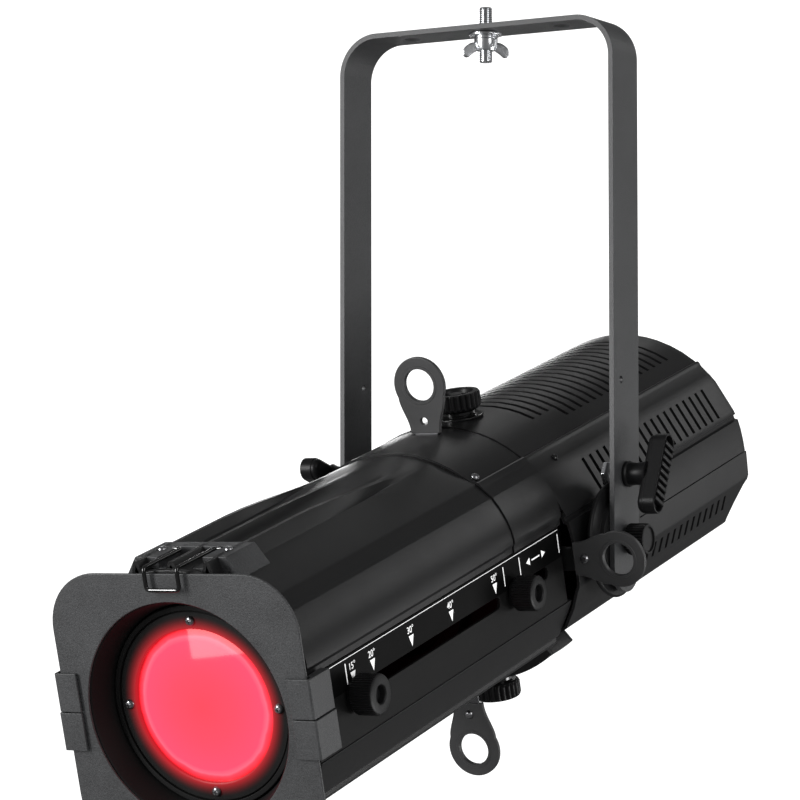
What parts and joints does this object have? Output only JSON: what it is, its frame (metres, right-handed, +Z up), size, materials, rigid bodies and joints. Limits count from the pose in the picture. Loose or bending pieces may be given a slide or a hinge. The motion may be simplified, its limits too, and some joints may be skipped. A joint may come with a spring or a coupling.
{
  "type": "ellipsoidal spotlight",
  "caption": "Ellipsoidal stage spotlight on a U yoke: zoom and focus barrel, framing shutters with ring handles, colour frame and vented LED lamp housing.",
  "frame": {"origin": "centre of the hanging hole in the yoke's crossbar, on the crossbar's top face", "axes": "+Z up along the hanging bolt, +X towards the side with the zoom and focus knobs, -Y the way the beam points, nose down 15.8 degrees at rest"},
  "size_m": [0.311, 0.6794, 0.602],
  "materials": {
    "yoke_paint": "dark grey textured powder coat on steel",
    "zinc_steel": "bright zinc plate",
    "black_plastic": "satin moulded nylon",
    "black_casting": "satin black powder coat on cast or pressed aluminium",
    "gloss_black": "gloss",
    "black_rubber": "matte",
    "blue_plastic": "satin",
    "grey_plastic": "satin",
    "circuit_board": "satin solder mask",
    "phosphor": "matte LED phosphor",
    "bare_aluminium": "bare extruded and pressed",
    "lens_glass": "polished, lit red"
  },
  "bodies": {
    "yoke": {"yoke": "yoke_paint", "hanging_bolt": "zinc_steel", "bolt_washer": "zinc_steel", "clamp_nut_right": "zinc_steel", "clamp_nut_left": "zinc_steel"},
    "wing_nut": {"wing_nut": "zinc_steel"},
    "t_handle_right": {"t_handle_right": "black_plastic"},
    "t_handle_left": {"t_handle_left": "black_plastic"},
    "pivot_knob_right": {"pivot_knob_right": "black_plastic"},
    "pivot_knob_left": {"pivot_knob_left": "black_plastic"},
    "lamp": {"housing_top": "black_casting", "housing_bottom": "black_casting", "friction_disc_right": "black_plastic", "friction_disc_left": "black_plastic", "rear_panel": "black_casting", "display_window": "gloss_black", "power_inlet": "blue_plastic", "power_outlet": "grey_plastic", "data_inlet": "zinc_steel", "data_outlet": "zinc_steel", "led_board": "circuit_board", "led_emitter": "phosphor", "condenser_holder": "bare_aluminium", "condenser_lens": "lens_glass", "heatsink": "bare_aluminium", "fan_frame": "black_plastic", "power_supply": "bare_aluminium", "control_board": "circuit_board"},
    "fuse_cap": {"fuse_cap": "black_plastic"},
    "menu_button_1": {"menu_button_1": "black_rubber"},
    "menu_button_2": {"menu_button_2": "black_rubber"},
    "menu_button_3": {"menu_button_3": "black_rubber"},
    "menu_button_4": {"menu_button_4": "black_rubber"},
    "fan_rotor": {"fan_rotor": "black_plastic"},
    "barrel": {"gate_carrier": "bare_aluminium", "gate_front_plate": "bare_aluminium", "barrel_cover_top": "black_casting", "gate_cover_top": "black_casting", "barrel_cover_bottom": "black_casting", "side_panel_right": "gloss_black", "side_panel_left": "gloss_black", "guide_rod_top": "zinc_steel", "guide_rod_bottom": "zinc_steel", "front_frame": "black_casting", "latch_block": "black_casting", "colour_frame": "yoke_paint"},
    "rotation_knob_top": {"rotation_knob_top": "black_plastic"},
    "rotation_knob_bottom": {"rotation_knob_bottom": "black_plastic"},
    "frame_latch": {"frame_latch": "zinc_steel"},
    "shutter_top": {"shutter_top": "black_plastic"},
    "shutter_bottom": {"shutter_bottom": "black_plastic"},
    "shutter_left": {"shutter_left": "black_plastic"},
    "shutter_right": {"shutter_right": "black_plastic"},
    "zoom_carriage": {"zoom_carriage": "black_plastic", "zoom_lens": "lens_glass", "lens_retainer": "black_casting"},
    "zoom_knob": {"zoom_knob": "black_plastic"},
    "focus_carriage": {"focus_carriage": "black_plastic", "focus_lens": "lens_glass"},
    "focus_knob": {"focus_knob": "black_plastic"}
  },
  "joints": [
    {"name": "tilt", "type": "hinge", "parent": "yoke", "child": "lamp", "pos_m": [0, 0, -0.3806], "axis": [1, 0, 0], "range_deg": [-33, 64]},
    {"name": "wing_nut_turn", "type": "hinge", "parent": "yoke", "child": "wing_nut", "pos_m": [0, 0, -0.01], "axis": [0, 0, 1], "continuous": true},
    {"name": "t_handle_right_turn", "type": "hinge", "parent": "yoke", "child": "t_handle_right", "pos_m": [0.13, 0, -0.3336], "axis": [1, 0, 0], "continuous": true},
    {"name": "t_handle_left_turn", "type": "hinge", "parent": "yoke", "child": "t_handle_left", "pos_m": [-0.13, 0, -0.3336], "axis": [-1, 0, 0], "continuous": true},
    {"name": "pivot_knob_right_turn", "type": "hinge", "parent": "yoke", "child": "pivot_knob_right", "pos_m": [0.125, 0, -0.3806], "axis": [1, 0, 0], "continuous": true},
    {"name": "pivot_knob_left_turn", "type": "hinge", "parent": "yoke", "child": "pivot_knob_left", "pos_m": [-0.125, 0, -0.3806], "axis": [-1, 0, 0], "continuous": true},
    {"name": "barrel_rotation", "type": "hinge", "parent": "lamp", "child": "barrel", "pos_m": [0, 0, -0.3806], "axis": [0, 0.9622, 0.2723], "range_deg": [-25, 25]},
    {"name": "fuse_cap_turn", "type": "hinge", "parent": "lamp", "child": "fuse_cap", "pos_m": [-0.062, 0.24007, -0.28877], "axis": [0, 0.9622, 0.2723], "range_deg": [-90, 0]},
    {"name": "menu_button_1_press", "type": "slide", "parent": "lamp", "child": "menu_button_1", "axis": [0, -0.9622, -0.2723], "range_m": [0, 0.0015], "stiffness_N_per_m": 250, "springref_m": -0.0005},
    {"name": "menu_button_2_press", "type": "slide", "parent": "lamp", "child": "menu_button_2", "axis": [0, -0.9622, -0.2723], "range_m": [0, 0.0015], "stiffness_N_per_m": 250, "springref_m": -0.0005},
    {"name": "menu_button_3_press", "type": "slide", "parent": "lamp", "child": "menu_button_3", "axis": [0, -0.9622, -0.2723], "range_m": [0, 0.0015], "stiffness_N_per_m": 250, "springref_m": -0.0005},
    {"name": "menu_button_4_press", "type": "slide", "parent": "lamp", "child": "menu_button_4", "axis": [0, -0.9622, -0.2723], "range_m": [0, 0.0015], "stiffness_N_per_m": 250, "springref_m": -0.0005},
    {"name": "fan_spin", "type": "hinge", "parent": "lamp", "child": "fan_rotor", "pos_m": [0, 0.17127, -0.33213], "axis": [0, 0.9622, 0.2723], "continuous": true},
    {"name": "rotation_knob_top_turn", "type": "hinge", "parent": "lamp", "child": "rotation_knob_top", "pos_m": [0, -0.04262, -0.28873], "axis": [0, -0.2723, 0.9622], "continuous": true},
    {"name": "rotation_knob_bottom_turn", "type": "hinge", "parent": "lamp", "child": "rotation_knob_bottom", "pos_m": [0, 0.01183, -0.48118], "axis": [0, 0.2723, -0.9622], "continuous": true},
    {"name": "frame_latch_swing", "type": "hinge", "parent": "barrel", "child": "frame_latch", "pos_m": [0, -0.38089, -0.38612], "axis": [-1, 0, 0], "range_deg": [0, 115]},
    {"name": "shutter_top_slide", "type": "slide", "parent": "barrel", "child": "shutter_top", "axis": [0, -0.2723, 0.9622], "range_m": [0, 0.034]},
    {"name": "shutter_bottom_slide", "type": "slide", "parent": "barrel", "child": "shutter_bottom", "axis": [0, 0.2723, -0.9622], "range_m": [-0.009, 0.025]},
    {"name": "shutter_left_slide", "type": "slide", "parent": "barrel", "child": "shutter_left", "axis": [-1, 0, 0], "range_m": [-0.004, 0.03]},
    {"name": "shutter_right_slide", "type": "slide", "parent": "barrel", "child": "shutter_right", "axis": [1, 0, 0], "range_m": [0, 0.034]},
    {"name": "zoom_slide", "type": "slide", "parent": "barrel", "child": "zoom_carriage", "axis": [0, 0.9622, 0.2723], "range_m": [0, 0.192]},
    {"name": "zoom_knob_turn", "type": "hinge", "parent": "zoom_carriage", "child": "zoom_knob", "pos_m": [0.1, -0.33623, -0.47782], "axis": [1, 0, 0], "continuous": true},
    {"name": "focus_slide", "type": "slide", "parent": "barrel", "child": "focus_carriage", "axis": [0, 0.9622, 0.2723], "range_m": [0, 0.044]},
    {"name": "focus_knob_turn", "type": "hinge", "parent": "focus_carriage", "child": "focus_knob", "pos_m": [0.1, -0.12358, -0.41765], "axis": [1, 0, 0], "continuous": true}
  ]
}
